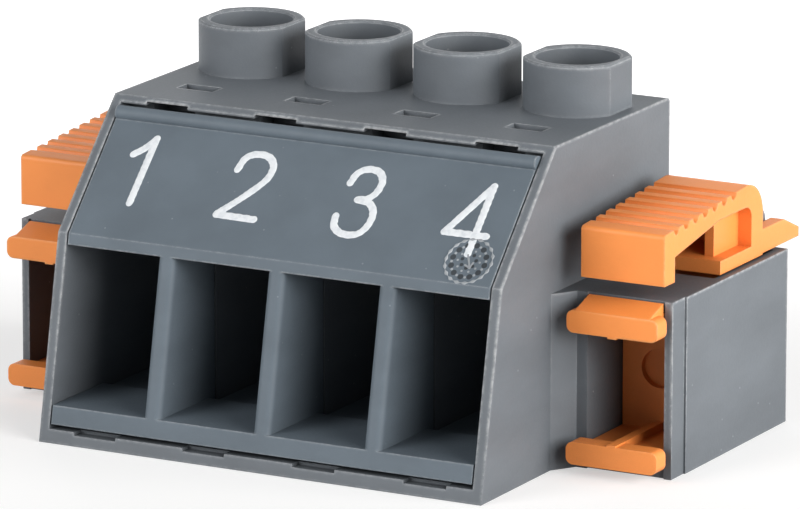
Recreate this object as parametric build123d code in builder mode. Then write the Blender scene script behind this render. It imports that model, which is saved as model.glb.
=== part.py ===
"""Four-pole pluggable terminal block: screw clamps in a housing with two side locking slides.

X runs along the row of poles, Y from the wire side to the plug side and Z up.
The origin lies on the base, in the middle of the body. All sizes are in millimetres.
"""

import os
from math import atan2, degrees

from build123d import *

os.makedirs("parts", exist_ok=True)

# Row of poles
pitch = 7.62
poles = 4
opening_width = 6.45
end_wall = 0.645

# Housing
body_depth = 26.2
body_height = 20.0
front_lean = 2.55
front_height = 12.7
slope_run = 7.0
floor_thickness = 0.85
roof_thickness = 1.2
roof_nose = 0.35
roof_lip = 0.45
roof_undercut = 1.0
rear_wall = 0.8
snout_length = 1.35
snout_height = 6.4
snout_gap = 1.2
snout_lead_in = 0.4
pin_opening = 2.2
latch_window_width = 2.9
latch_window_depth = 2.5
latch_window_rise = 0.12
lip_notch_drop = 0.2
lip_notch_depth = 0.9
dash_width = 2.45
dash_length = 1.2
dash_depth = 0.4
dash_setback = 3.75
edge_round = 0.3

# Screw towers
tower_diameter = 6.7
tower_flats = 6.0
tower_bore = 5.2
tower_height = 3.2
tower_setback = 4.95
tower_rim_bevel = 0.12

# Side flanges
flange_inner_wall = 1.7
flange_space = 5.2
flange_outer_wall = 0.62
flange_height = 11.0
flange_length = 15.7
flange_plate = 0.6
flange_rear_wall = 0.7
flange_lip_length = 1.7
flange_lip_step = 0.12
flange_plate_setback = 0.2
flange_root_width = 1.0
flange_root_length = 1.5
post_height = 2.6
post_width = 3.3
post_round = 0.8

# Wire entry cover
cover_gap = 0.1
cover_slit = 0.2
sill_slit = 0.3
sill_height = 2.3
sill_depth = 6.5
lintel_height = 0.7
slope_plate = 1.2
divider_depth = 7.3
bead_radius = 0.45
bead_setback = 0.9
divider_round = 0.4
guard_drop = 0.3
guard_thickness = 0.8
guard_gap = 0.6

# Clamping screw
thread_diameter = 3.0
head_diameter = 5.6
head_height = 1.8
head_clearance = 0.25
recess_width = 0.8
recess_depth = 1.0
cross_length = 3.2
tip_chamfer = 0.3

# Clamping yoke
yoke_width = 5.6
yoke_length = 5.4
yoke_wall = 0.7
yoke_crown = 1.4
yoke_jaw = 1.0
yoke_round = 0.6
wire_space = 4.2
thread_clearance = 0.2
crown_clearance = 0.15
tip_clearance = 0.1

# Contact
bar_width = 3.6
bar_thickness = 1.0
bar_overhang = 0.3
contact_sheet = 0.8
web_clearance = 0.5
tulip_clearance = 0.3
blade_height = 2.5
blade_thickness = 0.6
blade_throat = 0.9
blade_mouth = 2.0
throat_setback = 2.2

# Contact spring
floor_clearance = 0.3
spring_sheet = 0.3
spring_length = 3.8
spring_clearance = 0.15

# Locking slides
slide_clearance = 0.1
slide_travel = 2.5
neck_clearance = 0.8
handle_clearance = 0.15
handle_width = 5.6
handle_top = 16.1
handle_rise = 0.9
handle_block_height = 3.15
handle_block_depth = 1.4
handle_nose_round = 0.25
handle_arm = 1.5
handle_arm_front = 1.6
handle_taper = 6.1
handle_leg = 1.6
handle_length = 13.5
handle_post_gap = 2.0
handle_back_round = 2.2
handle_arch_round = 0.8
handle_base = 0.85
handle_base_length = 5.9
handle_panel = 0.6
handle_panel_inset = 0.9
handle_panel_length = 3.4
rib_count = 7
rib_pitch = 1.3
rib_groove = 0.36
rib_setback = 1.6
neck_width = 2.8
neck_length = 3.0
arm_thickness = 1.0
arm_pad = 0.6
arm_pad_gap = 0.2
stop_bar_gap = 0.65
stop_bar_depth = 1.25
stop_bar_height = 1.4
stop_bar_overhang = 0.55
stop_bar_round = 0.45
frame_wall_setback = 4.6
frame_wall = 1.0
frame_hole = 2.45
frame_hole_depth = 0.5
frame_rib_width = 0.6
frame_rib_height = 0.5
tongue_width = 0.9
tongue_height = 1.5
tongue_reach = 2.4
tongue_tip_height = 0.6
tongue_tip_length = 2.1
tongue_clearance = 0.25

# Stack of one clamp: the contact and the yoke from the floor up, the screw from the roof down
spring_foot_z = floor_thickness + floor_clearance
blade_foot_z = spring_foot_z + spring_sheet + spring_clearance
pin_z = blade_foot_z + blade_height / 2
tulip_roof_z = blade_foot_z + blade_height
tulip_top_z = tulip_roof_z + contact_sheet
yoke_foot_z = tulip_top_z + tulip_clearance
jaw_top_z = yoke_foot_z + yoke_jaw
bar_foot_z = jaw_top_z + wire_space
bar_top_z = bar_foot_z + bar_thickness
crown_foot_z = bar_top_z + crown_clearance
yoke_top_z = crown_foot_z + yoke_crown
roof_z = body_height - roof_thickness
head_top_z = roof_z - head_clearance
head_foot_z = head_top_z - head_height
tip_z = bar_top_z + tip_clearance

# Places that follow from the sizes above
body_width = pitch * (poles - 1) + opening_width + 2 * end_wall
pole_x = [pitch * (n - (poles - 1) / 2) for n in range(poles)]
pole_planes = [Plane.YZ.offset(x) for x in pole_x]
inner_width = body_width - 2 * end_wall
cover_width = inner_width - 2 * cover_gap
front_y = -body_depth / 2
plug_y = body_depth / 2
shoulder_y = plug_y - snout_length
slope_foot_y = front_y + front_lean
slope_head_y = slope_foot_y + slope_run
slope_rise = body_height - front_height
slope_length = (slope_run**2 + slope_rise**2) ** 0.5
roof_front_y = slope_head_y - roof_nose
roof_edge_z = body_height - roof_nose * slope_rise / slope_run
divider_rear_y = front_y + divider_depth
plate_drop = slope_plate * slope_length / slope_run
divider_top_z = front_height + slope_rise * (divider_rear_y - slope_foot_y) / slope_run - plate_drop
partition_front_y = divider_rear_y + cover_slit
partition_top_z = divider_top_z - cover_slit
chamber_rear_y = shoulder_y - rear_wall
tower_y = shoulder_y - tower_setback
web_front_y = tower_y + yoke_length / 2 + web_clearance
web_rear_y = web_front_y + contact_sheet
tulip_front_y = tower_y - yoke_length / 2
guard_rear_y = tower_y - yoke_length / 2 - guard_gap
guard_top_z = jaw_top_z - guard_drop

flange_front_y = plug_y - flange_length
flange_in_x = body_width / 2 + flange_inner_wall
flange_out_x = flange_in_x + flange_space
flange_face_x = flange_out_x + flange_outer_wall
flange_mid_x = (flange_in_x + flange_out_x) / 2
flange_mid_z = flange_height / 2
flange_roof_y = flange_front_y + flange_plate_setback
flange_roof_z = flange_height - flange_plate
handle_rear_y = plug_y - flange_rear_wall - handle_post_gap
handle_front_y = handle_rear_y - handle_length
flange_roof_end_y = handle_rear_y - neck_length - slide_travel - neck_clearance

# Outer shell: the side profile, hollowed for the cover and for one chamber at each pole
with BuildPart() as housing:
    with BuildSketch(Plane.YZ):
        with BuildLine():
            Polyline(
                (front_y, 0),
                (plug_y, 0),
                (plug_y, snout_height),
                (shoulder_y, snout_height),
                (shoulder_y, body_height),
                (slope_head_y, body_height),
                (slope_foot_y, front_height),
                close=True,
            )
        make_face()
    extrude(amount=body_width / 2, both=True)
    shell_edges = housing.edges().filter_by(Axis.X).group_by(Axis.Z)[-1].sort_by(Axis.Y)
    fillet(shell_edges[-1], edge_round)

    # Room for the cover between the side walls, open to the front and the slope, and undercut
    # behind the lip of the roof
    with BuildSketch(Plane.YZ):
        with BuildLine():
            Polyline(
                (front_y, floor_thickness),
                (partition_front_y, floor_thickness),
                (partition_front_y, partition_top_z),
                (roof_front_y + roof_undercut, partition_top_z),
                (roof_front_y + roof_undercut, body_height - roof_lip),
                (roof_front_y, body_height - roof_lip),
                (roof_front_y, body_height),
                (front_y, body_height),
                close=True,
            )
        make_face()
    extrude(amount=inner_width / 2, both=True, mode=Mode.SUBTRACT)

    # Pole chambers, parted by walls one divider thick
    with BuildSketch(Plane.XY.offset(floor_thickness)):
        with Locations((0, (partition_front_y + chamber_rear_y) / 2)):
            with GridLocations(pitch, pitch, poles, 1):
                Rectangle(opening_width, chamber_rear_y - partition_front_y)
    extrude(amount=roof_z - floor_thickness, mode=Mode.SUBTRACT)

    # Screw towers with two flats, bored through to the chambers
    with BuildSketch(Plane.XY.offset(body_height)):
        with Locations((0, tower_y)):
            with GridLocations(pitch, pitch, poles, 1):
                Circle(tower_diameter / 2)
            with GridLocations(pitch, pitch, poles + 1, 1):
                Rectangle(pitch - tower_flats, tower_diameter, mode=Mode.SUBTRACT)
    extrude(amount=tower_height)
    with BuildSketch(Plane.XY.offset(body_height + tower_height)):
        with Locations((0, tower_y)):
            with GridLocations(pitch, pitch, poles, 1):
                Circle(tower_bore / 2)
    extrude(amount=-(tower_height + 2 * roof_thickness), mode=Mode.SUBTRACT)
    tower_rims = housing.faces().sort_by(Axis.Z)[-poles:].edges()
    chamfer(tower_rims, tower_rim_bevel)

    # Dash-shaped recess in front of each tower
    with BuildSketch(Plane.XY.offset(body_height)):
        with Locations((0, slope_head_y + dash_setback)):
            with GridLocations(pitch, pitch, poles, 1):
                Rectangle(dash_width, dash_length)
    extrude(amount=-dash_depth, mode=Mode.SUBTRACT)

    # Latch windows under the roof nose and notches in the bottom lip
    with BuildSketch(Plane.XY.offset(roof_edge_z + latch_window_rise)):
        with Locations((0, roof_front_y)):
            with GridLocations(pitch, pitch, poles, 1):
                Rectangle(latch_window_width, 2 * latch_window_depth)
    extrude(amount=roof_z - roof_edge_z - latch_window_rise, mode=Mode.SUBTRACT)
    with BuildSketch(Plane.XY.offset(floor_thickness)):
        with Locations((0, front_y)):
            with GridLocations(pitch, pitch, poles, 1):
                Rectangle(latch_window_width, 2 * lip_notch_depth)
    extrude(amount=-lip_notch_drop, mode=Mode.SUBTRACT)

    # Plug side: one snout at each pole with a funnelled pin opening
    with BuildSketch(Plane.XY):
        with Locations((0, plug_y)):
            with GridLocations(pitch, pitch, poles + 1, 1):
                Rectangle(snout_gap, 2 * snout_length)
    extrude(amount=snout_height, mode=Mode.SUBTRACT)
    with BuildSketch(Plane.XZ.offset(-plug_y)):
        with Locations((0, pin_z)):
            with GridLocations(pitch, pitch, poles, 1):
                Rectangle(pin_opening, pin_opening)
    extrude(amount=plug_y - chamber_rear_y, mode=Mode.SUBTRACT)
    snout_faces = housing.faces().filter_by(Plane.XZ).sort_by(Axis.Y)[-poles:]
    chamfer([wire.edges() for face in snout_faces for wire in face.inner_wires()], snout_lead_in)

    # Flange roots: thick inner walls that run out into the side walls
    with BuildSketch(Plane.XY):
        with BuildLine():
            Polyline(
                (body_width / 2 - end_wall / 2, flange_front_y - flange_root_length),
                (body_width / 2, flange_front_y - flange_root_length),
                (body_width / 2 + flange_root_width, flange_front_y),
                (flange_in_x, flange_front_y),
                (flange_in_x, plug_y),
                (body_width / 2 - end_wall / 2, plug_y),
                close=True,
            )
        make_face()
        mirror(about=Plane.YZ)
    extrude(amount=flange_height)

    # Outer flange walls with a thinner front lip
    with BuildSketch(Plane.XY):
        with BuildLine():
            Polyline(
                (flange_out_x, flange_front_y),
                (flange_face_x - flange_lip_step, flange_front_y),
                (flange_face_x - flange_lip_step, flange_front_y + flange_lip_length),
                (flange_face_x, flange_front_y + flange_lip_length),
                (flange_face_x, plug_y),
                (flange_out_x, plug_y),
                close=True,
            )
        make_face()
        mirror(about=Plane.YZ)
    extrude(amount=flange_height)

    # Floor, roof strip, rear wall and stop post of each flange
    with BuildSketch(Plane.XY):
        with Locations((0, (flange_roof_y + plug_y) / 2)):
            with GridLocations(2 * flange_mid_x, pitch, 2, 1):
                Rectangle(flange_space, plug_y - flange_roof_y)
    extrude(amount=flange_plate)
    with BuildSketch(Plane.XY.offset(flange_roof_z)):
        with Locations((0, (flange_roof_y + flange_roof_end_y) / 2)):
            with GridLocations(2 * flange_mid_x, pitch, 2, 1):
                Rectangle(flange_space, flange_roof_end_y - flange_roof_y)
    extrude(amount=flange_plate)
    with BuildSketch(Plane.XZ.offset(-plug_y)):
        with Locations((0, flange_mid_z)):
            with GridLocations(2 * flange_mid_x, pitch, 2, 1):
                Rectangle(flange_space, flange_height)
    extrude(amount=flange_rear_wall)
    with BuildSketch(Plane.XZ.offset(-plug_y)) as posts:
        with Locations((0, flange_height + post_height / 2)):
            with GridLocations(2 * flange_mid_x, pitch, 2, 1):
                Rectangle(post_width, post_height)
        fillet(posts.vertices().group_by(Axis.Y)[-1], post_round)
    extrude(amount=flange_rear_wall)
housing.part.label = "housing"
export_step(housing.part, "parts/housing.step")

# Front insert: sill, lintel, number slope and dividers around four wire openings
opening_top_z = front_height - lintel_height
sill_foot_z = floor_thickness + sill_slit
slope_end_y = roof_front_y - cover_slit
slope_end_z = front_height + slope_rise * (slope_end_y - slope_foot_y) / slope_run
with BuildPart() as wire_entry_cover:
    with BuildSketch(Plane.YZ):
        with BuildLine():
            Polyline(
                (front_y + front_lean * sill_foot_z / front_height, sill_foot_z),
                (slope_foot_y, front_height),
                (slope_end_y, slope_end_z),
                (slope_end_y, slope_end_z - plate_drop),
                (divider_rear_y, divider_top_z),
                (divider_rear_y, sill_foot_z),
                close=True,
            )
        make_face()
    extrude(amount=cover_width / 2, both=True)

    # Rounded bead along the head of the slope
    with BuildSketch(Plane.YZ):
        with Locations((slope_head_y - bead_setback, body_height - bead_setback * slope_rise / slope_run)):
            Circle(bead_radius)
    extrude(amount=cover_width / 2, both=True)

    # Wire openings: straight sill in front, open chamber behind
    with BuildSketch(*pole_planes):
        with BuildLine():
            Polyline(
                (front_y - front_lean, sill_height),
                (front_y + sill_depth, sill_height),
                (front_y + sill_depth, 0),
                (slope_head_y, 0),
                (slope_head_y, body_height - plate_drop),
                (slope_head_y - (body_height - plate_drop - opening_top_z) * slope_run / slope_rise, opening_top_z),
                (front_y - front_lean, opening_top_z),
                close=True,
            )
        make_face()
    extrude(amount=opening_width / 2, both=True, mode=Mode.SUBTRACT)

    # Rounded front edges on the dividers
    front_face = wire_entry_cover.faces().filter_by(Axis.X, reverse=True).sort_by(Axis.Y)[0]
    divider_edges = front_face.edges().filter_by(Axis.X, reverse=True).sort_by(SortBy.LENGTH)
    fillet(divider_edges[-2 * (poles - 1) :], divider_round)

    # Guard below each clamp, which keeps a wire from passing under the yoke
    with BuildSketch(*pole_planes):
        with BuildLine():
            Polyline(
                (front_y + sill_depth - guard_thickness, sill_foot_z),
                (guard_rear_y, sill_foot_z),
                (guard_rear_y, guard_top_z),
                (guard_rear_y - guard_thickness, guard_top_z),
                (guard_rear_y - guard_thickness, sill_foot_z + guard_thickness),
                (front_y + sill_depth - guard_thickness, sill_foot_z + guard_thickness),
                close=True,
            )
        make_face()
    extrude(amount=opening_width / 2 - cover_gap, both=True)
wire_entry_cover.part.label = "wire_entry_cover"
export_step(wire_entry_cover.part, "parts/wire_entry_cover.step")

# Clamping screw: turned head and shank with a combined slot and cross recess
with BuildPart() as clamp_screw:
    with BuildSketch(Plane.XZ.offset(-tower_y)):
        with BuildLine():
            Polyline(
                (0, tip_z),
                (thread_diameter / 2 - tip_chamfer, tip_z),
                (thread_diameter / 2, tip_z + tip_chamfer),
                (thread_diameter / 2, head_foot_z),
                (head_diameter / 2, head_foot_z),
                (head_diameter / 2, head_top_z),
                (0, head_top_z),
                close=True,
            )
        make_face()
    revolve(axis=Axis((0, tower_y, 0), (0, 0, 1)))
    with BuildSketch(Plane.XY.offset(head_top_z)):
        with Locations((0, tower_y)):
            Rectangle(head_diameter, recess_width)
            Rectangle(recess_width, cross_length)
    extrude(amount=-recess_depth, mode=Mode.SUBTRACT)

# Clamping yoke: a steel loop whose crown carries the thread and whose jaw lifts the wire
with BuildPart() as clamp_yoke:
    with BuildSketch(Plane.XZ.offset(-tower_y)) as yoke_loop:
        with Locations((0, (yoke_foot_z + yoke_top_z) / 2)):
            RectangleRounded(yoke_width, yoke_top_z - yoke_foot_z, yoke_round)
        with Locations((0, (jaw_top_z + crown_foot_z) / 2)):
            Rectangle(yoke_width - 2 * yoke_wall, crown_foot_z - jaw_top_z, mode=Mode.SUBTRACT)
    extrude(amount=yoke_length / 2, both=True)
    with BuildSketch(Plane.XY.offset(yoke_top_z)):
        with Locations((0, tower_y)):
            Circle(thread_diameter / 2 + thread_clearance)
    extrude(amount=-yoke_crown, mode=Mode.SUBTRACT)

# Contact: one folded strip, from the current bar down to a tulip with two sprung blades
with BuildPart() as contact:
    with BuildSketch(Plane.YZ) as strip:
        with BuildLine():
            Polyline(
                (tulip_front_y - bar_overhang, bar_foot_z),
                (tulip_front_y - bar_overhang, bar_top_z),
                (web_rear_y, bar_top_z),
                (web_rear_y, tulip_roof_z),
                (tulip_front_y, tulip_roof_z),
                (tulip_front_y, tulip_top_z),
                (web_front_y, tulip_top_z),
                (web_front_y, bar_foot_z),
                close=True,
            )
        make_face()
        fillet(strip.vertices().group_by(Axis.X)[-1], contact_sheet / 2)
    extrude(amount=bar_width / 2, both=True)
    with BuildSketch(Plane.XY.offset(blade_foot_z)):
        with BuildLine():
            Polyline(
                (bar_width / 2, tulip_front_y),
                (bar_width / 2, tower_y),
                (blade_throat / 2 + blade_thickness, web_rear_y - throat_setback),
                (blade_mouth / 2 + blade_thickness, web_rear_y),
                (blade_mouth / 2, web_rear_y),
                (blade_throat / 2, web_rear_y - throat_setback),
                (bar_width / 2 - blade_thickness, tower_y),
                (bar_width / 2 - blade_thickness, tulip_front_y),
                close=True,
            )
        make_face()
        mirror(about=Plane.YZ)
    extrude(amount=blade_height)

# Contact spring: a steel clip around the root of the blades
spring_inside = bar_width / 2 + spring_clearance
with BuildPart() as contact_spring:
    with BuildSketch(Plane.XZ.offset(-tulip_front_y)):
        with BuildLine():
            Polyline(
                (-spring_inside - spring_sheet, tulip_roof_z),
                (-spring_inside - spring_sheet, spring_foot_z),
                (spring_inside + spring_sheet, spring_foot_z),
                (spring_inside + spring_sheet, tulip_roof_z),
                (spring_inside, tulip_roof_z),
                (spring_inside, spring_foot_z + spring_sheet),
                (-spring_inside, spring_foot_z + spring_sheet),
                (-spring_inside, tulip_roof_z),
                close=True,
            )
        make_face()
    extrude(amount=-spring_length)

# One set of clamp and contact at each pole
pole_pieces = {
    "clamp_screw": clamp_screw,
    "clamp_yoke": clamp_yoke,
    "contact": contact,
    "contact_spring": contact_spring,
}
for piece_name, piece in pole_pieces.items():
    for number, x in enumerate(pole_x, start=1):
        with BuildPart() as placed:
            with Locations((x, 0, 0)):
                add(piece.part)
        placed.part.label = f"{piece_name}_{number}"
        export_step(placed.part, f"parts/{piece_name}_{number}.step")

# Locking slide: a frame in the flange with two stop bars, and a ribbed handle above it
handle_foot_z = flange_height + handle_clearance
base_top_z = handle_foot_z + handle_base
arm_under_z = handle_top - handle_arm
nose_top_z = handle_top - handle_rise
nose_foot_z = nose_top_z - handle_block_height
rib_row = rib_setback + rib_pitch * (rib_count - 1) / 2
rib_row_z = nose_top_z + handle_rise * rib_row / handle_length
handle_lean = degrees(atan2(handle_rise, handle_length))
arm_top_z = flange_roof_z - slide_clearance
arm_foot_z = arm_top_z - arm_thickness
low_arm_foot_z = flange_plate + slide_clearance
low_arm_top_z = low_arm_foot_z + arm_thickness
stop_rear_y = flange_front_y - stop_bar_gap
stop_front_y = stop_rear_y - stop_bar_depth
frame_y = flange_front_y + frame_wall_setback
frame_in_x = flange_in_x + slide_clearance
frame_out_x = flange_out_x - slide_clearance
frame_width = frame_out_x - frame_in_x
tongue_foot_z = flange_height + tongue_clearance
tongue_tip_y = plug_y + tongue_reach
handle_out_x = flange_mid_x + handle_width / 2
with BuildPart() as release_slide_right:
    # Handle: ribbed arm, nose block, rear leg and base as one bent profile
    with BuildSketch(Plane.YZ.offset(flange_mid_x)) as handle:
        with BuildLine():
            Polyline(
                (handle_front_y, nose_foot_z),
                (handle_front_y, nose_top_z),
                (handle_rear_y, handle_top),
                (handle_rear_y, handle_foot_z),
                (handle_rear_y - handle_base_length, handle_foot_z),
                (handle_rear_y - handle_base_length, base_top_z),
                (handle_rear_y - handle_leg, base_top_z),
                (handle_rear_y - handle_leg, arm_under_z),
                (handle_front_y + handle_block_depth + handle_taper, arm_under_z),
                (handle_front_y + handle_block_depth, nose_top_z - handle_arm_front),
                (handle_front_y + handle_block_depth, nose_foot_z),
                close=True,
            )
        make_face()
        arch_corner = (handle_rear_y - handle_leg, arm_under_z, 0)
        fillet(handle.vertices().sort_by_distance(arch_corner)[0], handle_arch_round)
        fillet(handle.vertices().sort_by_distance((handle_front_y, nose_top_z, 0))[0], handle_nose_round)
        fillet(handle.vertices().sort_by(Axis.Y)[-1], handle_back_round)
    extrude(amount=handle_width / 2, both=True)

    # Grooves that leave ribs across the arm
    with BuildSketch(Plane.YZ.offset(flange_mid_x)):
        with Locations(Location((handle_front_y + rib_row, rib_row_z), handle_lean)):
            with GridLocations(rib_pitch, rib_pitch, rib_count, 1):
                Circle(rib_groove)
    extrude(amount=handle_width / 2, both=True, mode=Mode.SUBTRACT)

    # Panel that closes the inner side of the handle, and a shorter one set in on the outer side
    with BuildSketch(Plane.XY.offset(base_top_z)):
        with Locations((handle_out_x - handle_width, handle_rear_y - handle_leg)):
            Rectangle(handle_panel, handle_base_length - handle_leg, align=(Align.MIN, Align.MAX))
        with Locations((handle_out_x - handle_panel_inset, handle_rear_y - handle_leg)):
            Rectangle(handle_panel, handle_panel_length, align=(Align.MAX, Align.MAX))
    extrude(amount=arm_under_z - base_top_z)

    # Tongue that reaches past the plug side of the flange
    with BuildSketch(Plane.YZ.offset(handle_out_x - tongue_width)):
        with BuildLine():
            Polyline(
                (handle_rear_y - handle_leg, tongue_foot_z),
                (handle_rear_y - handle_leg, tongue_foot_z + tongue_height),
                (tongue_tip_y - tongue_tip_length, tongue_foot_z + tongue_height),
                (tongue_tip_y, tongue_foot_z + tongue_tip_height),
                (tongue_tip_y, tongue_foot_z),
                close=True,
            )
        make_face()
    extrude(amount=tongue_width)

    # Neck through the open part of the flange roof
    with BuildSketch(Plane.XY.offset(arm_foot_z)):
        with Locations((flange_mid_x, handle_rear_y)):
            Rectangle(neck_width, neck_length, align=(Align.CENTER, Align.MAX))
    extrude(amount=handle_foot_z - arm_foot_z)

    # Frame in the flange: two arms and a front wall with a blind round hole
    with BuildSketch(Plane.YZ.offset(frame_in_x)):
        with BuildLine():
            Polyline(
                (stop_front_y, arm_top_z),
                (flange_roof_y - arm_pad_gap, arm_top_z + arm_pad),
                (flange_roof_y - arm_pad_gap, arm_top_z),
                (handle_rear_y, arm_top_z),
                (handle_rear_y, arm_foot_z),
                (frame_y + frame_wall, arm_foot_z),
                (frame_y + frame_wall, low_arm_foot_z),
                (stop_front_y, low_arm_foot_z),
                (stop_front_y, low_arm_top_z),
                (frame_y, low_arm_top_z),
                (frame_y, arm_foot_z),
                (stop_front_y, arm_foot_z),
                close=True,
            )
        make_face()
    extrude(amount=frame_width)
    with BuildSketch(Plane.XZ.offset(-frame_y)):
        with Locations((flange_mid_x, flange_mid_z)):
            Circle(frame_hole / 2)
    extrude(amount=-frame_hole_depth, mode=Mode.SUBTRACT)

    # Stop bars at the front, wider than the flange, with rounded ends
    with BuildSketch(Plane.XZ.offset(-stop_front_y)):
        with Locations(
            (flange_mid_x, arm_top_z - stop_bar_height / 2),
            (flange_mid_x, low_arm_foot_z + stop_bar_height / 2),
        ):
            RectangleRounded(frame_width + 2 * stop_bar_overhang, stop_bar_height, stop_bar_round)
    extrude(amount=-stop_bar_depth)

    # Stiffening ribs along the middle of both arms
    with BuildSketch(Plane.XY.offset(low_arm_top_z)):
        with Locations((flange_mid_x, stop_front_y)):
            Rectangle(frame_rib_width, frame_y - stop_front_y, align=(Align.CENTER, Align.MIN))
    extrude(amount=frame_rib_height)
    with BuildSketch(Plane.XY.offset(arm_foot_z)):
        with Locations((flange_mid_x, stop_front_y)):
            Rectangle(frame_rib_width, frame_y - stop_front_y, align=(Align.CENTER, Align.MIN))
    extrude(amount=-frame_rib_height)
release_slide_right.part.label = "release_slide_right"
export_step(release_slide_right.part, "parts/release_slide_right.step")

with BuildPart() as release_slide_left:
    mirror(release_slide_right.part, about=Plane.YZ)
release_slide_left.part.label = "release_slide_left"
export_step(release_slide_left.part, "parts/release_slide_left.step")
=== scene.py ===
"""Looks of a four-pole pluggable terminal block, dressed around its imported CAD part.

X runs along the row of poles, Y from the wire side to the plug side and Z up, in metres.
"""

import bmesh
import bpy
import mathutils
import numpy as np
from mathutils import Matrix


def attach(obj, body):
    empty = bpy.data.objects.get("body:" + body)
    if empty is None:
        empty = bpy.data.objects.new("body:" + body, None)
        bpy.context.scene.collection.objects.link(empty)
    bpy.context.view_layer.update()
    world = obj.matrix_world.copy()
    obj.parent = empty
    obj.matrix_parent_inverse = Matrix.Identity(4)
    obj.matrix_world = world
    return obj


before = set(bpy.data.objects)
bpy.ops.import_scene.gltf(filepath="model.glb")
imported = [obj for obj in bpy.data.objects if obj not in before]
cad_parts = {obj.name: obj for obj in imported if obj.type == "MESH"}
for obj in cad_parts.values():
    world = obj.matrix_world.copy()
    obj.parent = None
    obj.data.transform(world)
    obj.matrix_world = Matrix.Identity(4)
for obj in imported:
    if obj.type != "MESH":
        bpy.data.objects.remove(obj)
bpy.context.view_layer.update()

# Housing: one thin-walled moulding in blue-grey thermoplastic, with the screw towers, the pole
# chambers and the two side flanges. The mould leaves a fine satin grain, faint flow clouds and
# edges with a small radius. The light on these edges is a painted highlight mixed with wear, and
# closed-in places carry a painted shade.
MM = 0.001
FLOW_STRETCH = (1.0, 0.55, 1.6)
CLOUDS_PER_M = 210.0
GRAINS_PER_M = 5200.0
EDGE_BREAKUP_PER_M = 2400.0
DUST_CELLS_PER_M = 1200.0
DUST_PICK = 0.7
DUST_STRENGTH = 0.35
AIR_REACH = 9.0 * MM
# Painted shade: closed-in places are darkened to this share of their colour.
PAINTED_SHADE_CLOSED_IN = 0.55
EDGE_SAMPLES = 6
GRAIN_DULLING = 0.16
GRAIN_STRENGTH = 0.35
PLASTIC_IOR = 1.49


def node_group(name, inputs, outputs):
    """An empty shader node group with the named sockets, and its two end nodes."""
    group = bpy.data.node_groups.new(name, "ShaderNodeTree")
    for socket, kind, value in inputs:
        made = group.interface.new_socket(socket, in_out="INPUT", socket_type=kind)
        made.default_value = value
    for socket, kind in outputs:
        group.interface.new_socket(socket, in_out="OUTPUT", socket_type=kind)
    start = group.nodes.new("NodeGroupInput")
    end = group.nodes.new("NodeGroupOutput")
    return group, start, end


def add_node(tree, kind, settings=None, values=None, links=None):
    """One shader node with its settings, fixed socket values and incoming links."""
    node = tree.nodes.new(kind)
    for key, value in (settings or {}).items():
        setattr(node, key, value)
    for key, value in (values or {}).items():
        node.inputs[key].default_value = value
    for key, source in (links or {}).items():
        tree.links.new(source, node.inputs[key])
    return node


def calc(tree, operation, *terms):
    """Result of a Math node. Its terms, in order, are sockets or plain numbers."""
    node = add_node(tree, "ShaderNodeMath", {"operation": operation})
    for term, socket in zip(terms, node.inputs):
        if isinstance(term, bpy.types.NodeSocket):
            tree.links.new(term, socket)
        else:
            socket.default_value = term
    return node.outputs["Value"]


def remap(tree, value, span, onto):
    """A value carried in proportion from one range onto another, and held at its ends."""
    return add_node(
        tree,
        "ShaderNodeMapRange",
        values={"From Min": span[0], "From Max": span[1], "To Min": onto[0], "To Max": onto[1]},
        links={"Value": value},
    ).outputs["Result"]


def noise(tree, place, per_metre, detail, roughness):
    """Value of a noise texture at the given place on the surface."""
    return add_node(
        tree,
        "ShaderNodeTexNoise",
        values={"Scale": per_metre, "Detail": detail, "Roughness": roughness},
        links={"Vector": place},
    ).outputs["Fac"]


def mix(tree, kind, share, first, second):
    """Blend of two colours or normals: none of the second at share 0, all of it at 1."""
    return add_node(
        tree,
        "ShaderNodeMix",
        {"data_type": kind},
        links={"Factor": share, "A": first, "B": second},
    ).outputs["Result"]


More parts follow.
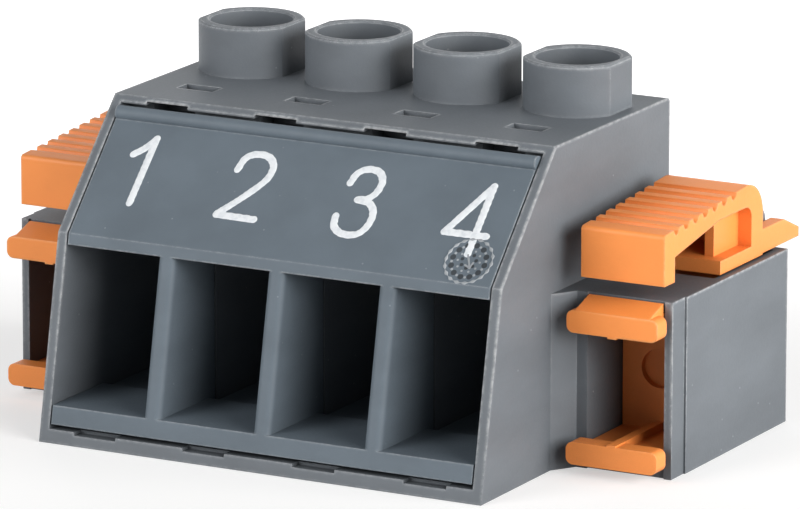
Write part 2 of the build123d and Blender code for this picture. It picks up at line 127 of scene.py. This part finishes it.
def build_moulded_skin():
    """Skin of a moulded part: grain is fine noise, clouds are broad stretched noise, and pale
    edges, partly wear and partly a painted highlight, come from how far the rounded edge normal
    leans away from the face normal, broken up by noise and only where the surface is open to the
    air around it. Closed-in places get a painted shade, a darker colour by ambient occlusion, and
    keep the plain normal. Dust specks are the cells of a Voronoi texture whose centre lies in the
    surface, a few of them picked by the cell's colour."""
    group, start, end = node_group(
        "moulded_skin",
        [
            ("Color", "NodeSocketColor", (0.2, 0.2, 0.2, 1.0)),
            ("Edge Wear And Highlight Color", "NodeSocketColor", (0.3, 0.3, 0.3, 1.0)),
            ("Edge Radius", "NodeSocketFloat", 0.15 * MM),
            ("Cloud", "NodeSocketFloat", 0.1),
            ("Roughness", "NodeSocketFloat", 0.5),
        ],
        [
            ("Color", "NodeSocketColor"),
            ("Roughness", "NodeSocketFloat"),
            ("Height", "NodeSocketFloat"),
            ("Normal", "NodeSocketVector"),
        ],
    )
    given = start.outputs
    place = add_node(group, "ShaderNodeTexCoord").outputs["Object"]
    stretched = add_node(
        group, "ShaderNodeMapping", values={"Scale": FLOW_STRETCH}, links={"Vector": place}
    ).outputs["Vector"]
    clouds = noise(group, stretched, CLOUDS_PER_M, detail=3.0, roughness=0.55)
    grain = noise(group, place, GRAINS_PER_M, detail=2.0, roughness=0.6)
    breakup_noise = noise(group, place, EDGE_BREAKUP_PER_M, detail=2.0, roughness=0.6)
    cells = add_node(
        group, "ShaderNodeTexVoronoi", values={"Scale": DUST_CELLS_PER_M}, links={"Vector": place}
    ).outputs
    open_air = add_node(
        group, "ShaderNodeAmbientOcclusion", {"samples": EDGE_SAMPLES}, {"Distance": AIR_REACH}
    ).outputs["AO"]
    rounded = add_node(
        group, "ShaderNodeBevel", {"samples": EDGE_SAMPLES}, links={"Radius": given["Edge Radius"]}
    ).outputs["Normal"]
    surface = add_node(group, "ShaderNodeNewGeometry").outputs

    cloud_side = remap(group, clouds, span=(0.3, 0.7), onto=(-1.0, 1.0))
    cloud_gain = calc(group, "MULTIPLY_ADD", cloud_side, given["Cloud"], 1.0)
    # Painted shade: the colour darkens where ambient occlusion finds the surface closed in.
    painted_recess_shade = remap(group, open_air, span=(0.05, 0.55), onto=(PAINTED_SHADE_CLOSED_IN, 1.0))
    clouded_and_shaded = add_node(
        group,
        "ShaderNodeVectorMath",
        {"operation": "SCALE"},
        links={"Vector": given["Color"], "Scale": calc(group, "MULTIPLY", cloud_gain, painted_recess_shade)},
    ).outputs["Vector"]

    lean = add_node(
        group,
        "ShaderNodeVectorMath",
        {"operation": "DOT_PRODUCT"},
        links={0: rounded, 1: surface["True Normal"]},
    ).outputs["Value"]
    # Painted highlight mixed with wear: rounded edges open to the air are paled towards the edge
    # colour.
    edge = remap(group, lean, span=(0.998, 0.88), onto=(0.0, 1.0))
    outer = remap(group, open_air, span=(0.6, 0.85), onto=(0.0, 1.0))
    edge_breakup = remap(group, breakup_noise, span=(0.38, 0.6), onto=(0.4, 1.0))
    worn_and_highlight_edge = calc(group, "MULTIPLY", calc(group, "MULTIPLY", edge, outer), edge_breakup)
    speck = remap(group, cells["Distance"], span=(0.04, 0.085), onto=(DUST_STRENGTH, 0.0))
    picked = calc(group, "GREATER_THAN", cells["Color"], DUST_PICK)
    pale = calc(group, "MAXIMUM", worn_and_highlight_edge, calc(group, "MULTIPLY", speck, picked))

    color = mix(group, "RGBA", pale, clouded_and_shaded, given["Edge Wear And Highlight Color"])
    rough = calc(group, "MULTIPLY_ADD", grain, GRAIN_DULLING, given["Roughness"])
    normal = mix(group, "VECTOR", outer, surface["Normal"], rounded)
    group.links.new(color, end.inputs["Color"])
    group.links.new(rough, end.inputs["Roughness"])
    group.links.new(grain, end.inputs["Height"])
    group.links.new(normal, end.inputs["Normal"])
    return group


moulded_skin = build_moulded_skin()


def moulded_plastic(
    name, color, edge_wear_and_highlight_color, edge_radius, cloud, roughness, grain_depth, gloss=0.25
):
    """A moulded plastic: the skin group on a plain dielectric, with its grain as bump."""
    material = bpy.data.materials.new(name)
    material.use_nodes = True
    tree = material.node_tree
    shader = tree.nodes["Principled BSDF"]
    skin = add_node(
        tree,
        "ShaderNodeGroup",
        {"node_tree": moulded_skin},
        {
            "Color": (*color, 1.0),
            "Edge Wear And Highlight Color": (*edge_wear_and_highlight_color, 1.0),
            "Edge Radius": edge_radius,
            "Cloud": cloud,
            "Roughness": roughness,
        },
    )
    bump = add_node(
        tree,
        "ShaderNodeBump",
        values={"Strength": GRAIN_STRENGTH, "Distance": grain_depth},
        links={"Height": skin.outputs["Height"], "Normal": skin.outputs["Normal"]},
    )
    tree.links.new(skin.outputs["Color"], shader.inputs["Base Color"])
    tree.links.new(skin.outputs["Roughness"], shader.inputs["Roughness"])
    tree.links.new(bump.outputs["Normal"], shader.inputs["Normal"])
    shader.inputs["IOR"].default_value = PLASTIC_IOR
    shader.inputs["Specular IOR Level"].default_value = gloss
    return material


def dress(material, *names):
    """Gives the material to the named CAD nodes."""
    for name in names:
        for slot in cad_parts[name].material_slots:
            slot.material = material


housing_grey = moulded_plastic(
    "housing_grey",
    color=(0.142, 0.158, 0.176),
    edge_wear_and_highlight_color=(0.54, 0.555, 0.57),
    edge_radius=0.34 * MM,
    cloud=0.09,
    roughness=0.42,
    grain_depth=0.03 * MM,
)
dress(housing_grey, "housing")

# Wire entry cover: the front insert with the sill, the dividers and the number slope. It is the
# same thermoplastic from a second mould, a shade darker, and it clicks in under the roof nose.
cover_grey = moulded_plastic(
    "cover_grey",
    color=(0.122, 0.151, 0.179),
    edge_wear_and_highlight_color=(0.40, 0.425, 0.45),
    edge_radius=0.2 * MM,
    cloud=0.09,
    roughness=0.44,
    grain_depth=0.03 * MM,
)
dress(cover_grey, "wire_entry_cover")

# Pole numbers: plain figures 1 to 4, pad printed in white ink on the slope, one above each wire
# opening. The ink is a thin film with rounded strokes and slightly ragged borders. The figures'
# points are in mm, along the row and down the slope from its head.
SLOPE_RUN = 7.0
SLOPE_DROP = 7.3
SLOPE_HEAD = np.array([0.0, -3.55, 20.0])
SLOPE_DOWN = np.array([0.0, -SLOPE_RUN, -SLOPE_DROP]) / np.hypot(SLOPE_RUN, SLOPE_DROP)
SLOPE_OUT = np.array([0.0, -SLOPE_DROP, SLOPE_RUN]) / np.hypot(SLOPE_RUN, SLOPE_DROP)
STROKE = 0.52
STROKE_STEP = 0.07
STROKE_LEAST_STEPS = 6
STROKE_BANDS = 9
END_STEPS = 7
RAGGED = 0.08
RAGGED_WAVES = (11.0, 14.0)
RAGGED_SHIFT = 2.1
INK_FILM = 0.02
INK_SINK = 0.25
INK_STRENGTH = 0.3
INK_SPOTS_PER_M = 2600.0
MERGE_GAP = 1e-7
FIGURES = {
    1: [
        [(-12.35, 4.1), (-11.75, 3.6), (-11.2, 2.85)],
        [(-11.2, 2.85), (-11.3, 7.5)],
    ],
    2: [
        [(-4.97, 4.25), (-4.75, 3.45), (-4.19, 3.08), (-3.3, 3.1), (-2.72, 3.6), (-2.65, 4.3)]
        + [(-2.95, 5.0), (-3.95, 6.2), (-5.19, 7.48)],
        [(-5.19, 7.52), (-2.6, 7.56)],
    ],
    3: [
        [(2.83, 4.2), (3.05, 3.52), (3.6, 3.15), (4.4, 3.2), (4.9, 3.8), (4.8, 4.65), (4.35, 5.15)]
        + [(3.75, 5.29)],
        [(3.75, 5.29), (4.6, 5.45), (5.1, 6.1), (5.05, 7.0), (4.55, 7.65), (3.6, 7.75), (2.88, 7.3)]
        + [(2.72, 6.6)],
    ],
    4: [
        [(12.3, 3.25), (10.2, 6.7)],
        [(10.2, 6.7), (13.0, 6.7)],
        [(12.3, 3.25), (12.25, 8.0)],
    ],
}


def on_slope(across, down, rise):
    """Points on the number slope: along X, down the slope from its head, and out of it (mm)."""
    place = SLOPE_HEAD + down[..., None] * SLOPE_DOWN + rise[..., None] * SLOPE_OUT
    place[..., 0] += across
    return place * MM


def smooth_line(points, steps=14):
    """A Catmull-Rom curve through the points: each span blends four points by cubic weights."""
    points = np.asarray(points, float)
    points = np.vstack([2 * points[0] - points[1], points, 2 * points[-1] - points[-2]])
    before, near, far, after = points[:-3], points[1:-2], points[2:-1], points[3:]
    t = np.linspace(0.0, 1.0, steps, endpoint=False)[:, None, None]
    span = 0.5 * (
        2 * near
        + (far - before) * t
        + (2 * before - 5 * near + 4 * far - after) * t**2
        + (3 * near - before - 3 * far + after) * t**3
    )
    return np.vstack([span.transpose(1, 0, 2).reshape(-1, 2), points[-2]])


def ink_stroke(line, width=STROKE, film=INK_FILM):
    """Grid of a crowned ink stroke: the line is cut into even steps and lengthened by round ends,
    whose half width falls as the root of 1 - t squared. Both borders are ragged by a product of
    sines, and the film's height falls off across the stroke, to just under the slope."""
    half = width / 2
    reach = np.concatenate([[0.0], np.cumsum(np.linalg.norm(np.diff(line, axis=0), axis=1))])
    steps = max(STROKE_LEAST_STEPS, int(reach[-1] / STROKE_STEP))
    stations = np.linspace(0.0, reach[-1], steps)
    line = np.stack([np.interp(stations, reach, line[:, axis]) for axis in range(2)], axis=1)
    lead = (line[0] - line[1]) / np.linalg.norm(line[0] - line[1])
    tail = (line[-1] - line[-2]) / np.linalg.norm(line[-1] - line[-2])
    t = np.sin(np.linspace(0.0, np.pi / 2, END_STEPS))[:, None]
    path = np.vstack([line[0] + lead * half * t[::-1], line[1:-1], line[-1] + tail * half * t])
    spread = np.ones(len(path))
    spread[:END_STEPS] = np.sqrt(1 - t[::-1, 0] ** 2)
    spread[-END_STEPS:] = np.sqrt(1 - t[:, 0] ** 2)
    along = np.gradient(path, axis=0)
    along /= np.linalg.norm(along, axis=1)[:, None]
    side = np.stack([-along[:, 1], along[:, 0]], axis=1)
    v = np.linspace(-1.0, 1.0, STROKE_BANDS)
    shift = RAGGED_SHIFT * np.sign(v)[None, :]
    wave_across = np.sin(RAGGED_WAVES[0] * path[:, :1] + shift)
    wave_down = np.sin(RAGGED_WAVES[1] * path[:, 1:] - shift)
    out = v * spread[:, None] * half * (1 + RAGGED * (wave_across * wave_down))
    flat = path[:, None] + out[..., None] * side[:, None]
    crown = (1 - v**4)[None, :] * np.sqrt(spread)[:, None]
    return on_slope(flat[..., 0], flat[..., 1], film * ((1 + INK_SINK) * crown - INK_SINK))


def grid_mesh(name, grids):
    """One mesh from several grids of points: each cell is a quad, and meeting points are merged,
    which closes seams and poles."""
    verts, faces, base = [], [], 0
    for grid in grids:
        rows, columns = grid.shape[:2]
        index = base + np.arange(rows * columns).reshape(rows, columns)
        cells = [index[:-1, :-1], index[:-1, 1:], index[1:, 1:], index[1:, :-1]]
        faces.append(np.stack(cells, -1).reshape(-1, 4))
        verts.append(grid.reshape(-1, 3))
        base += rows * columns
    mesh = bpy.data.meshes.new(name)
    mesh.from_pydata(np.vstack(verts), [], np.vstack(faces).tolist())
    closed = bmesh.new()
    closed.from_mesh(mesh)
    bmesh.ops.remove_doubles(closed, verts=closed.verts, dist=MERGE_GAP)
    closed.to_mesh(mesh)
    closed.free()
    mesh.polygons.foreach_set("use_smooth", np.ones(len(mesh.polygons), bool))
    piece = bpy.data.objects.new(name, mesh)
    bpy.context.scene.collection.objects.link(piece)
    return piece


def face_vectors(piece, kind):
    """The normal or the center of each face of a piece, one row to a face."""
    vectors = np.zeros(len(piece.data.polygons) * 3)
    piece.data.polygons.foreach_get(kind, vectors)
    return vectors.reshape(-1, 3)


def face_out(piece, outward):
    """Turns the faces over if, added up, they look against the outward directions."""
    if (face_vectors(piece, "normal") * outward).sum() < 0:
        piece.data.flip_normals()


ink_white = bpy.data.materials.new("ink_white")
ink_white.use_nodes = True
ink_tree = ink_white.node_tree
ink_shader = ink_tree.nodes["Principled BSDF"]
ink_place = add_node(ink_tree, "ShaderNodeTexCoord").outputs["Object"]
ink_spots = noise(ink_tree, ink_place, INK_SPOTS_PER_M, detail=3.0, roughness=0.6)
ink_color = add_node(ink_tree, "ShaderNodeValToRGB", links={"Fac": ink_spots})
thin_ink, full_ink = ink_color.color_ramp.elements
thin_ink.position, thin_ink.color = 0.3, (0.66, 0.70, 0.74, 1.0)
full_ink.position, full_ink.color = 0.55, (0.80, 0.83, 0.86, 1.0)
ink_bump = add_node(
    ink_tree,
    "ShaderNodeBump",
    values={"Strength": INK_STRENGTH, "Distance": INK_FILM * MM},
    links={"Height": ink_spots},
)
ink_tree.links.new(ink_color.outputs["Color"], ink_shader.inputs["Base Color"])
ink_tree.links.new(ink_bump.outputs["Normal"], ink_shader.inputs["Normal"])
ink_shader.inputs["Roughness"].default_value = 0.5
for number, strokes in FIGURES.items():
    ink_grids = [ink_stroke(smooth_line(points)) for points in strokes]
    figure = grid_mesh(f"pole_number_{number}", ink_grids)
    face_out(figure, SLOPE_OUT)
    figure.data.materials.append(ink_white)
    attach(figure, "body")

# Mould date mark: the plain beaded ring that a mould insert leaves at the right of the slope, with
# a pointer in its middle. Its ring, pips and pointer are a pale grey, a painted highlight, and its
# flat dots a near-black grey, a painted shade, and rougher than the cover around them. Small pips
# stand between the dots and around the pointer.
MARK_PLACE = np.array([12.5, 8.5])
MARK_SINK = 0.1
RING_RADIUS = 1.52
RING_WIDTH = 0.18
RING_BEADS = 18
BEAD_MEAN = 0.75
BEAD_SWELL = 0.6
RING_RELIEF = 0.05
DOT_CIRCLE = 1.12
DOT_RADIUS = 0.2
DOT_TURNS = np.radians(30.0 * np.arange(12) + 8.0)
PIP_RADIUS = 0.09
PIP_TURNS = np.radians(30.0 * np.arange(12) + 23.0)
INNER_DOT_CIRCLE = 0.48
INNER_DOT_RADIUS = 0.13
INNER_DOT_TURNS = np.radians(360.0 / 7 * np.arange(7) + 40.0)
INNER_PIP_CIRCLE = 0.74
INNER_PIP_RADIUS = 0.08
INNER_PIP_TURNS = np.radians(36.0 * np.arange(10))
DOT_RELIEF = 0.012
POINTER_WIDTH = 0.14
POINTER_RELIEF = 0.03
POINTER_FOOT = 0.45
POINTER_TIP = 0.5
BARB_FOOT = 0.2
BARB_SPREAD = 0.25
POINTER_ALONG = np.array([0.42, 0.91])
POINTER_ACROSS = np.array([0.91, -0.42])


def mark_ring(turns=217, bands=7):
    """Grid of a raised ring on the slope: a half-round profile carried round a circle, whose width
    swells into beads by a cosine."""
    t = np.linspace(0.0, 2 * np.pi, turns)[:, None]
    v = np.linspace(-1.0, 1.0, bands)[None, :]
    r = RING_RADIUS + v * RING_WIDTH / 2 * (BEAD_MEAN + BEAD_SWELL * np.cos(RING_BEADS * t))
    rise = RING_RELIEF * ((1 + MARK_SINK) * np.sqrt(1 - v**2) - MARK_SINK) + 0 * t
    return on_slope(MARK_PLACE[0] + r * np.cos(t), MARK_PLACE[1] + r * np.sin(t), rise)


def mark_dot(turn, circle, radius, relief=DOT_RELIEF, rings=5, sides=13):
    """Grid of a dome on the slope, on a circle of the mark: its height falls as the root of 1 - r
    squared."""
    t = np.linspace(0.0, 2 * np.pi, sides)[:, None]
    r = np.linspace(0.0, 1.0, rings)[None, :]
    across = MARK_PLACE[0] + circle * np.cos(turn) + radius * r * np.cos(t)
    down = MARK_PLACE[1] + circle * np.sin(turn) + radius * r * np.sin(t)
    rise = relief * ((1 + MARK_SINK) * np.sqrt(1 - r**2) - MARK_SINK) + 0 * t
    return on_slope(across, down, rise)


pointer_foot = MARK_PLACE - POINTER_FOOT * POINTER_ALONG
pointer_tip = MARK_PLACE + POINTER_TIP * POINTER_ALONG
barb_left = MARK_PLACE + BARB_FOOT * POINTER_ALONG + BARB_SPREAD * POINTER_ACROSS
barb_right = MARK_PLACE + BARB_FOOT * POINTER_ALONG - BARB_SPREAD * POINTER_ACROSS
pointer_lines = [
    np.array([pointer_foot, pointer_tip]),
    np.array([pointer_tip, barb_left]),
    np.array([pointer_tip, barb_right]),
]
date_mark = grid_mesh(
    "mould_date_mark",
    [mark_ring()]
    + [mark_dot(turn, DOT_CIRCLE, PIP_RADIUS) for turn in PIP_TURNS]
    + [mark_dot(turn, INNER_PIP_CIRCLE, INNER_PIP_RADIUS) for turn in INNER_PIP_TURNS]
    + [ink_stroke(line, POINTER_WIDTH, POINTER_RELIEF) for line in pointer_lines],
)
# Painted highlight: the ring, pips and pointer get a pale grey that stands for light catching them.
mark_painted_highlight_grey = moulded_plastic(
    "mark_painted_highlight_grey",
    color=(0.36, 0.385, 0.41),
    edge_wear_and_highlight_color=(0.46, 0.48, 0.50),
    edge_radius=0.03 * MM,
    cloud=0.3,
    roughness=0.36,
    grain_depth=0.01 * MM,
)
date_dots = grid_mesh(
    "mould_date_dots",
    [mark_dot(turn, DOT_CIRCLE, DOT_RADIUS) for turn in DOT_TURNS]
    + [mark_dot(turn, INNER_DOT_CIRCLE, INNER_DOT_RADIUS) for turn in INNER_DOT_TURNS],
)
# Painted shade: the flat dots get a near-black grey that stands for shade in them.
dot_painted_shade_grey = moulded_plastic(
    "dot_painted_shade_grey",
    color=(0.045, 0.053, 0.061),
    edge_wear_and_highlight_color=(0.10, 0.11, 0.12),
    edge_radius=0.03 * MM,
    cloud=0.35,
    roughness=0.62,
    grain_depth=0.04 * MM,
)
for mark_piece, mark_finish in ((date_mark, mark_painted_highlight_grey), (date_dots, dot_painted_shade_grey)):
    face_out(mark_piece, SLOPE_OUT)
    mark_piece.data.materials.append(mark_finish)
    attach(mark_piece, "body")

# Clamping screws: zinc plated steel, turned and rolled, captive under the towers. The plating is
# bright with a faint cloudy haze, and the shank carries a rolled thread, a triangular ridge whose
# borders lie just under the skin of the shank.
POLE_COUNT = 4
POLE_PITCH = 7.62
POLE_X = POLE_PITCH * (np.arange(POLE_COUNT) - (POLE_COUNT - 1) / 2)
TOWER_Y = 6.8
SHANK_RADIUS = 1.5
THREAD_PITCH = 0.5
THREAD_CREST = 0.1
THREAD_SINK = 0.01
THREAD_FOOT = 12.0
THREAD_HEAD = 16.5
THREAD_FADE = 0.5
RIDGE_HALF = 0.48
RIDGE_PEAK = 1.15
RIDGE_FALL = 1.25
RIDGE_LINES = np.array([-1.0, -0.5, -0.12, 0.12, 0.5, 1.0])
STEPS_A_TURN = 28
HAZE_PER_M = 700.0
LINES_PER_M = 9000.0
LINE_DULLING = 0.2
LINE_STRENGTH = 0.25
LINE_DEPTH = 0.01 * MM


def build_plated_metal():
    """Plated metal: broad haze shifts the colour, and fine lines drawn out along one axis give
    the rolled or turned finish."""
    group, start, end = node_group(
        "plated_metal",
        [
            ("Color", "NodeSocketColor", (0.6, 0.6, 0.6, 1.0)),
            ("Haze Color", "NodeSocketColor", (0.5, 0.5, 0.5, 1.0)),
            ("Roughness", "NodeSocketFloat", 0.3),
            ("Grain", "NodeSocketVector", (1.0, 0.05, 1.0)),
        ],
        [
            ("Color", "NodeSocketColor"),
            ("Roughness", "NodeSocketFloat"),
            ("Height", "NodeSocketFloat"),
        ],
    )
    given = start.outputs
    place = add_node(group, "ShaderNodeTexCoord").outputs["Object"]
    drawn = add_node(
        group,
        "ShaderNodeVectorMath",
        {"operation": "MULTIPLY"},
        links={0: place, 1: given["Grain"]},
    ).outputs["Vector"]
    haze = noise(group, place, HAZE_PER_M, detail=4.0, roughness=0.6)
    lines = noise(group, drawn, LINES_PER_M, detail=2.0, roughness=0.5)
    hazed = remap(group, haze, span=(0.35, 0.7), onto=(0.0, 1.0))
    color = mix(group, "RGBA", hazed, given["Color"], given["Haze Color"])
    rough = calc(group, "MULTIPLY_ADD", lines, LINE_DULLING, given["Roughness"])
    group.links.new(color, end.inputs["Color"])
    group.links.new(rough, end.inputs["Roughness"])
    group.links.new(lines, end.inputs["Height"])
    return group


plated_metal = build_plated_metal()


def metal(name, color, haze_color, roughness, grain):
    """A plated metal with its drawn lines as a slight bump. The lines run along the axis whose
    grain is small."""
    material = bpy.data.materials.new(name)
    material.use_nodes = True
    tree = material.node_tree
    shader = tree.nodes["Principled BSDF"]
    skin = add_node(
        tree,
        "ShaderNodeGroup",
        {"node_tree": plated_metal},
        {
            "Color": (*color, 1.0),
            "Haze Color": (*haze_color, 1.0),
            "Roughness": roughness,
            "Grain": grain,
        },
    )
    bump = add_node(
        tree,
        "ShaderNodeBump",
        values={"Strength": LINE_STRENGTH, "Distance": LINE_DEPTH},
        links={"Height": skin.outputs["Height"]},
    )
    tree.links.new(skin.outputs["Color"], shader.inputs["Base Color"])
    tree.links.new(skin.outputs["Roughness"], shader.inputs["Roughness"])
    tree.links.new(bump.outputs["Normal"], shader.inputs["Normal"])
    shader.inputs["Metallic"].default_value = 1.0
    return material


def thread_grid(axis_x):
    """Grid of a right-hand thread: a triangular ridge carried along a helix. Along the helix the
    height grows by one pitch a turn, and the ridge fades out at both ends."""
    turns = (THREAD_HEAD - THREAD_FOOT) / THREAD_PITCH
    u = np.linspace(0.0, turns, int(turns * STEPS_A_TURN))[:, None]
    v = RIDGE_LINES[None, :]
    fade = np.clip(np.minimum(u, turns - u) / THREAD_FADE, 0.0, 1.0)
    ridge = np.minimum(RIDGE_PEAK - RIDGE_FALL * np.abs(v), 1.0) * fade
    r = SHANK_RADIUS - THREAD_SINK + THREAD_CREST * ridge
    angle = 2 * np.pi * u + 0 * v
    height = THREAD_FOOT + THREAD_PITCH * (u + RIDGE_HALF * v)
    return np.stack([axis_x + r * np.cos(angle), TOWER_Y + r * np.sin(angle), height], -1) * MM


screw_steel = metal(
    "screw_steel",
    color=(0.66, 0.66, 0.64),
    haze_color=(0.56, 0.57, 0.57),
    roughness=0.24,
    grain=(1.0, 1.0, 0.08),
)
for number, axis_x in enumerate(POLE_X, start=1):
    dress(screw_steel, f"clamp_screw_{number}")
    thread = grid_mesh(f"screw_thread_{number}", [thread_grid(axis_x)])
    spokes = face_vectors(thread, "center") - np.array([axis_x, TOWER_Y, 0.0]) * MM
    face_out(thread, spokes * (1.0, 1.0, 0.0))
    thread.data.materials.append(screw_steel)
    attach(thread, f"screw_{number}")

# Clamping yokes: closed loops of folded steel strip, zinc plated to a duller finish than the
# screws. The crown is threaded, so that the screw lifts the yoke against the current bar.
yoke_steel = metal(
    "yoke_steel",
    color=(0.62, 0.62, 0.60),
    haze_color=(0.50, 0.51, 0.51),
    roughness=0.3,
    grain=(1.0, 0.06, 1.0),
)
dress(yoke_steel, *[f"clamp_yoke_{number}" for number in range(1, POLE_COUNT + 1)])

# Contacts: one strip of copper alloy at each pole, folded from the current bar down to a tulip.
# The strip is tin plated to a soft warm grey and held in the chamber of the housing.
contact_tin = metal(
    "contact_tin",
    color=(0.70, 0.68, 0.63),
    haze_color=(0.60, 0.58, 0.53),
    roughness=0.34,
    grain=(1.0, 0.06, 1.0),
)
dress(contact_tin, *[f"contact_{number}" for number in range(1, POLE_COUNT + 1)])

# Contact springs: clips of bright stainless spring strip. They are pushed over the contact blades
# and press them onto the pin.
spring_steel = metal(
    "spring_steel",
    color=(0.58, 0.58, 0.58),
    haze_color=(0.50, 0.50, 0.51),
    roughness=0.2,
    grain=(0.06, 1.0, 1.0),
)
dress(spring_steel, *[f"contact_spring_{number}" for number in range(1, POLE_COUNT + 1)])

# Locking slides: one orange moulding in each flange, a ribbed handle above a frame with two stop
# bars. The orange is a softer, slightly waxy thermoplastic, and the slide runs in its flange.
slide_orange = moulded_plastic(
    "slide_orange",
    color=(0.985, 0.314, 0.071),
    edge_wear_and_highlight_color=(0.99, 0.46, 0.18),
    edge_radius=0.22 * MM,
    cloud=0.05,
    roughness=0.38,
    grain_depth=0.025 * MM,
    gloss=0.45,
)
dress(slide_orange, "release_slide_left", "release_slide_right")

# Floor: a white sheet a hair below the block. It takes the shadow, and fades to plain white away
# from the block, as the cut-out background does.
FLOOR_HALF = 3.0
FLOOR_DROP = 0.02 * MM
FLOOR_GREY = 0.62
FLOOR_GLOW = 0.5
FADE_FROM = 0.03
FADE_TO = 0.10


def background_rays(tree):
    """1 for rays that see the plain white background: direct, mirrored or through glass."""
    rays = add_node(tree, "ShaderNodeLightPath").outputs
    seen = calc(tree, "MAXIMUM", rays["Is Camera Ray"], rays["Is Transmission Ray"])
    return calc(tree, "MAXIMUM", seen, rays["Is Glossy Ray"])


floor_corners = np.array([(-1, -1), (1, -1), (1, 1), (-1, 1)]) * FLOOR_HALF
floor_points = np.column_stack([floor_corners, np.full(4, -FLOOR_DROP)])
floor_mesh = bpy.data.meshes.new("floor")
floor_mesh.from_pydata(floor_points, [], [(0, 1, 2, 3)])
floor = bpy.data.objects.new("floor", floor_mesh)
bpy.context.scene.collection.objects.link(floor)
floor_white = bpy.data.materials.new("floor_white")
floor_white.use_nodes = True
floor_tree = floor_white.node_tree
floor_shader = floor_tree.nodes["Principled BSDF"]
floor_shader.inputs["Base Color"].default_value = (FLOOR_GREY, FLOOR_GREY, FLOOR_GREY, 1.0)
floor_shader.inputs["Roughness"].default_value = 0.9
floor_shader.inputs["Specular IOR Level"].default_value = 0.0
floor_place = add_node(floor_tree, "ShaderNodeTexCoord").outputs["Object"]
floor_reach = add_node(
    floor_tree, "ShaderNodeVectorMath", {"operation": "LENGTH"}, links={"Vector": floor_place}
).outputs["Value"]
floor_glow = remap(floor_tree, floor_reach, span=(FADE_FROM, FADE_TO), onto=(FLOOR_GLOW, 1.0))
floor_seen = calc(floor_tree, "MULTIPLY", floor_glow, background_rays(floor_tree))
floor_shader.inputs["Emission Color"].default_value = (1.0, 1.0, 1.0, 1.0)
floor_tree.links.new(floor_seen, floor_shader.inputs["Emission Strength"])
floor_mesh.materials.append(floor_white)

# Light: a wide soft box along the right side, a smaller one from the left front for the number
# slope, a low one behind for the plug side, and a dim white room that shows as plain white.
ROOM_LEVEL = 0.12
BOX_REACH = 0.55
BOX_DROP = 0.30
WHITE = (1.0, 1.0, 1.0)
WARM_WHITE = (1.0, 0.985, 0.965)
world = bpy.data.worlds.new("studio")
world.use_nodes = True
bpy.context.scene.world = world
world_tree = world.node_tree
world_back = world_tree.nodes["Background"]
room = remap(world_tree, background_rays(world_tree), span=(0.0, 1.0), onto=(ROOM_LEVEL, 1.0))
world_tree.links.new(room, world_back.inputs["Strength"])
world_back.inputs["Color"].default_value = (*WHITE, 1.0)


def soft_box(name, turn, height, width, level, color):
    """A rectangular area lamp that looks at the block. turn and height are degrees, from the wire
    side towards +X and up from the floor, and level is about the brightness it gives a white
    surface that faces it."""
    around, up_from_floor = np.radians([turn, height])
    level_reach = BOX_REACH * np.cos(up_from_floor)
    place = np.array(
        [
            level_reach * np.sin(around),
            -level_reach * np.cos(around),
            BOX_REACH * np.sin(up_from_floor),
        ]
    )
    lamp = bpy.data.lights.new(name, "AREA")
    lamp.shape = "RECTANGLE"
    lamp.size = width
    lamp.size_y = BOX_DROP
    lamp.energy = level * (np.pi * BOX_REACH) ** 2
    lamp.color = color
    box = bpy.data.objects.new(name, lamp)
    bpy.context.scene.collection.objects.link(box)
    box.location = place
    box.rotation_euler = mathutils.Vector(-place).to_track_quat("-Z", "Y").to_euler()
    return box


soft_box("key_box", turn=81.0, height=18.0, width=0.62, level=1.59, color=WARM_WHITE)
soft_box("fill_box", turn=-30.0, height=22.0, width=0.30, level=0.60, color=WHITE)
back_box = soft_box("back_box", turn=-158.0, height=9.0, width=0.50, level=0.8, color=WHITE)
back_box.visible_glossy = False

# Camera: a long lens from the right front, a little above the block, as in the photograph. Its
# angles are degrees round from the wire side, up from the floor and about the line of sight.
AZIMUTH, ELEVATION, ROLL = np.radians([28.305, 13.827, 0.058])
CAMERA_PLACE = (0.22858, -0.41930, 0.12831)
right = np.array([np.cos(AZIMUTH), np.sin(AZIMUTH), 0.0])
back = np.array(
    [np.sin(AZIMUTH) * np.cos(ELEVATION), -np.cos(AZIMUTH) * np.cos(ELEVATION), np.sin(ELEVATION)]
)
up = np.cross(back, right)
turned = np.cos(ROLL) * right + np.sin(ROLL) * up
upright = np.cos(ROLL) * up - np.sin(ROLL) * right
camera_data = bpy.data.cameras.new("camera")
camera_data.sensor_width = 36.0
camera_data.lens = 360.0
camera = bpy.data.objects.new("camera", camera_data)
bpy.context.scene.collection.objects.link(camera)
camera_rows = np.column_stack([turned, upright, back, CAMERA_PLACE])
camera.matrix_world = mathutils.Matrix([*camera_rows, (0.0, 0.0, 0.0, 1.0)])
bpy.context.scene.camera = camera
bpy.context.scene.view_settings.view_transform = "Standard"
